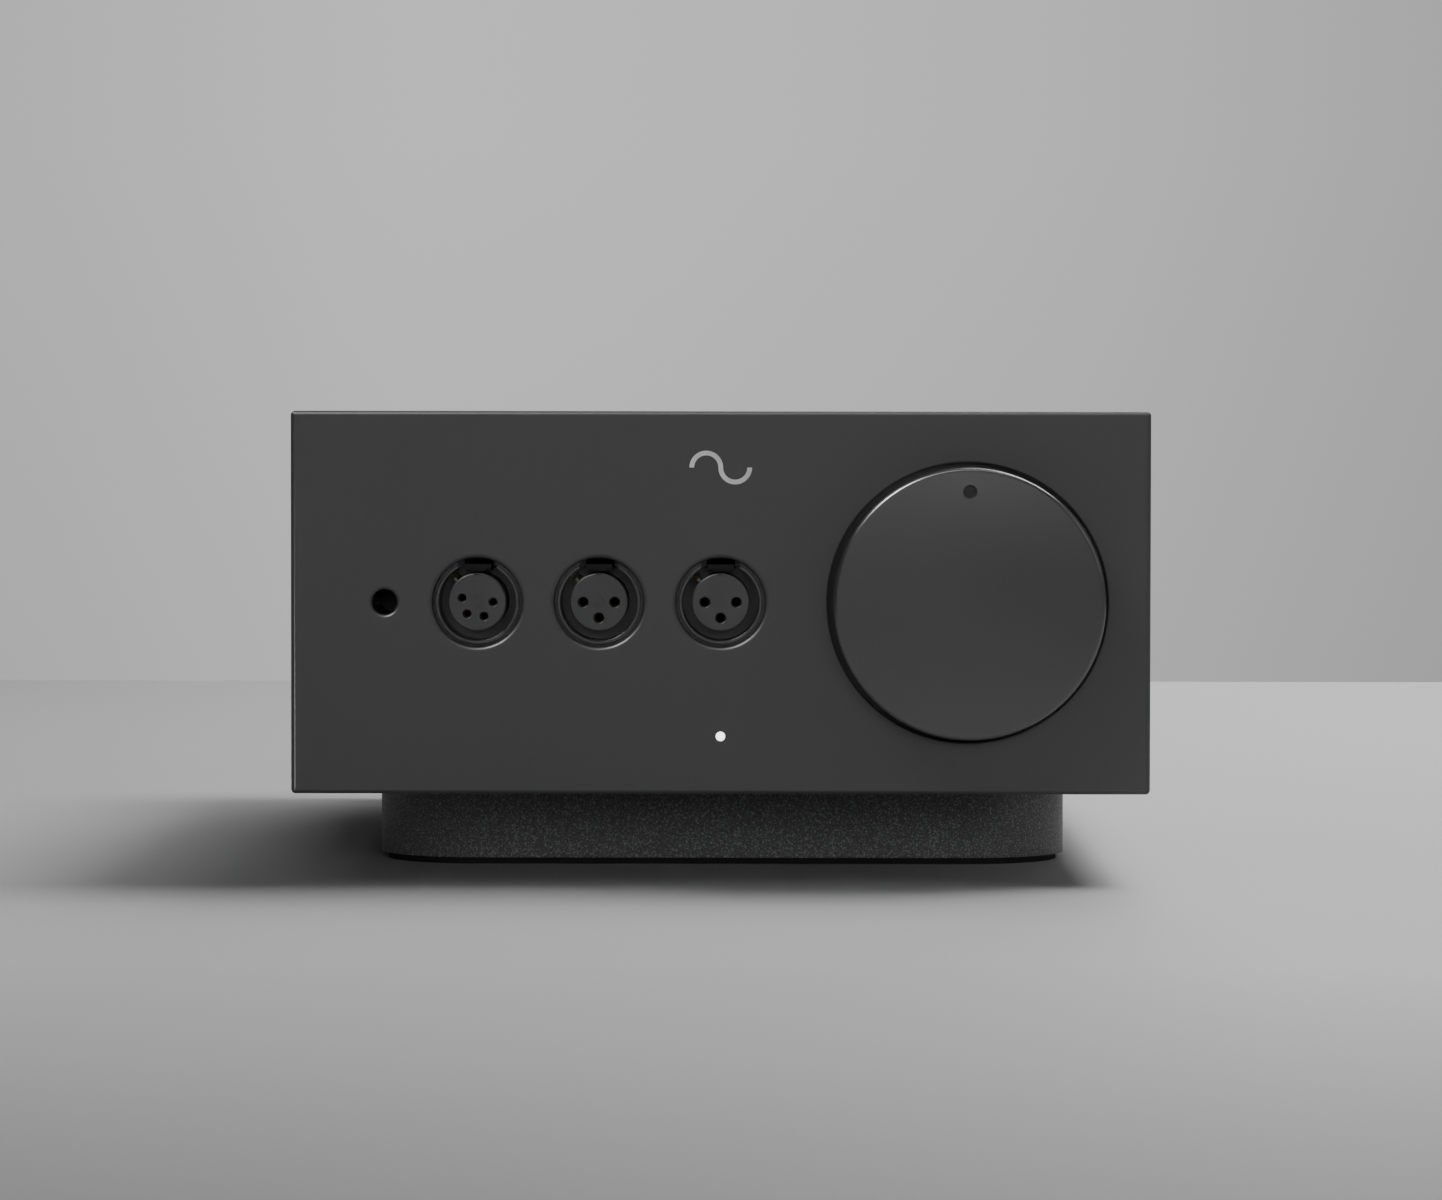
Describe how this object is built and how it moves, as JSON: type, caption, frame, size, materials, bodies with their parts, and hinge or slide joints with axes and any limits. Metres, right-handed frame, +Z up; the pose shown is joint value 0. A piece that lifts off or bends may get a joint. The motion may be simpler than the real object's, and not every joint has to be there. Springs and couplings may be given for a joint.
{
  "type": "desktop digital-to-analogue converter and headphone amplifier",
  "caption": "Black half-width desktop DAC and headphone amplifier on a recessed plinth, with a large volume knob, front headphone sockets and rear connectors.",
  "frame": {"origin": "middle of the bounding box's underside, on the surface that the foot stands on", "axes": "+Z up, -Y towards the front panel and its knob, +X to the right as seen from the front"},
  "size_m": [0.22, 0.356, 0.1215],
  "materials": {
    "case_black": "fine matt black anodised and painted aluminium",
    "plinth_black": "sandy textured black powder coat",
    "foot_rubber": "matt black rubber sheet",
    "emblem_silver": "satin silver inlay",
    "light_white": "lit white light pipe",
    "screw_black": "black oxide",
    "screw_steel": "zinc-plated steel",
    "knob_black": "satin black anodised aluminium",
    "shaft_steel": "turned steel",
    "socket_black": "black chromed die casting",
    "insert_plastic": "black moulded polyamide",
    "contact_gold": "gold plated",
    "contact_insulator": "white insulator",
    "board_laminate": "green solder mask",
    "component_black": "moulded component bodies",
    "capacitor_sleeve": "shrunk sleeve",
    "winding": "taped winding",
    "pad_rubber": "neoprene",
    "heatsink_black": "black anodised extrusion",
    "ribbon_grey": "flat cable sheath",
    "wire_sleeve": "wire insulation",
    "connector_steel": "nickel plated",
    "connector_plastic": "black thermoplastic",
    "fuse_glass": "glass tube with plated caps"
  },
  "bodies": {
    "chassis": {"front_panel": "case_black", "top_cover": "case_black", "base_plate": "case_black", "rear_panel": "case_black", "plinth": "plinth_black", "foot_pad": "foot_rubber", "front_emblem": "emblem_silver", "status_lens": "light_white", "case_screws": "screw_black", "cover_screws": "screw_black", "rear_connector_screws": "screw_black", "plinth_screws": "screw_steel", "front_socket_screws": "screw_steel", "board_screws": "screw_steel", "board_standoffs": "screw_steel", "control_nut": "screw_steel", "transformer_bolt": "screw_steel", "transformer_plate": "screw_steel", "volume_control": "shaft_steel", "xlr4_shell": "socket_black", "xlr3_left_shell": "socket_black", "xlr3_centre_shell": "socket_black", "line_output_shells": "socket_black", "xlr4_insert": "insert_plastic", "xlr3_left_insert": "insert_plastic", "xlr3_centre_insert": "insert_plastic", "jack_body": "insert_plastic", "jack_contacts": "contact_gold", "xlr4_contacts": "contact_gold", "xlr3_left_contacts": "contact_gold", "xlr3_centre_contacts": "contact_gold", "line_output_pins": "contact_gold", "rca_shells": "contact_gold", "rca_contacts": "contact_insulator", "headphone_board": "board_laminate", "power_board": "board_laminate", "main_board": "board_laminate", "power_board_parts": "component_black", "main_board_parts": "component_black", "output_transistors": "component_black", "reservoir_capacitors": "capacitor_sleeve", "transformer": "winding", "transformer_pads": "pad_rubber", "heatsink": "heatsink_black", "ribbon_cable": "ribbon_grey", "mains_harness": "wire_sleeve", "usb_socket": "connector_steel", "mains_inlet_pins": "connector_steel", "optical_socket": "connector_plastic", "mains_inlet": "connector_plastic"},
    "knob": {"volume_knob": "knob_black", "knob_set_screw": "screw_steel", "control_shaft": "shaft_steel"},
    "latch_4": {"xlr4_latch": "insert_plastic"},
    "latch_left": {"xlr3_left_latch": "insert_plastic"},
    "latch_centre": {"xlr3_centre_latch": "insert_plastic"},
    "shutter": {"optical_shutter": "connector_plastic"},
    "drawer": {"fuse_drawer": "connector_plastic", "fuse": "fuse_glass"},
    "rocker": {"power_rocker": "connector_plastic"}
  },
  "joints": [
    {"name": "volume_turn", "type": "hinge", "parent": "chassis", "child": "knob", "pos_m": [0.0632, -0.164, 0.0726], "axis": [0, 1, 0], "range_deg": [-150, 150]},
    {"name": "latch_4_lift", "type": "hinge", "parent": "chassis", "child": "latch_4", "pos_m": [-0.0623, -0.1485, 0.0818], "axis": [-1, 0, 0], "range_deg": [0, 5], "stiffness_Nm_per_rad": 0.01, "springref_deg": -5.73},
    {"name": "latch_left_lift", "type": "hinge", "parent": "chassis", "child": "latch_left", "pos_m": [-0.03115, -0.1485, 0.0818], "axis": [-1, 0, 0], "range_deg": [0, 5], "stiffness_Nm_per_rad": 0.01, "springref_deg": -5.73},
    {"name": "latch_centre_lift", "type": "hinge", "parent": "chassis", "child": "latch_centre", "pos_m": [0, -0.1485, 0.0818], "axis": [-1, 0, 0], "range_deg": [0, 5], "stiffness_Nm_per_rad": 0.01, "springref_deg": -5.73},
    {"name": "shutter_swing", "type": "hinge", "parent": "chassis", "child": "shutter", "pos_m": [-0.06, 0.1683, 0.0464], "axis": [-1, 0, 0], "range_deg": [0, 80], "stiffness_Nm_per_rad": 0.0005, "springref_deg": -11.46},
    {"name": "drawer_slide", "type": "slide", "parent": "chassis", "child": "drawer", "axis": [0, 1, 0], "range_m": [0, 0.016]},
    {"name": "rocker_tilt", "type": "hinge", "parent": "chassis", "child": "rocker", "pos_m": [0.078, 0.164, 0.087], "axis": [0, 0, 1], "range_deg": [0, 16]}
  ]
}
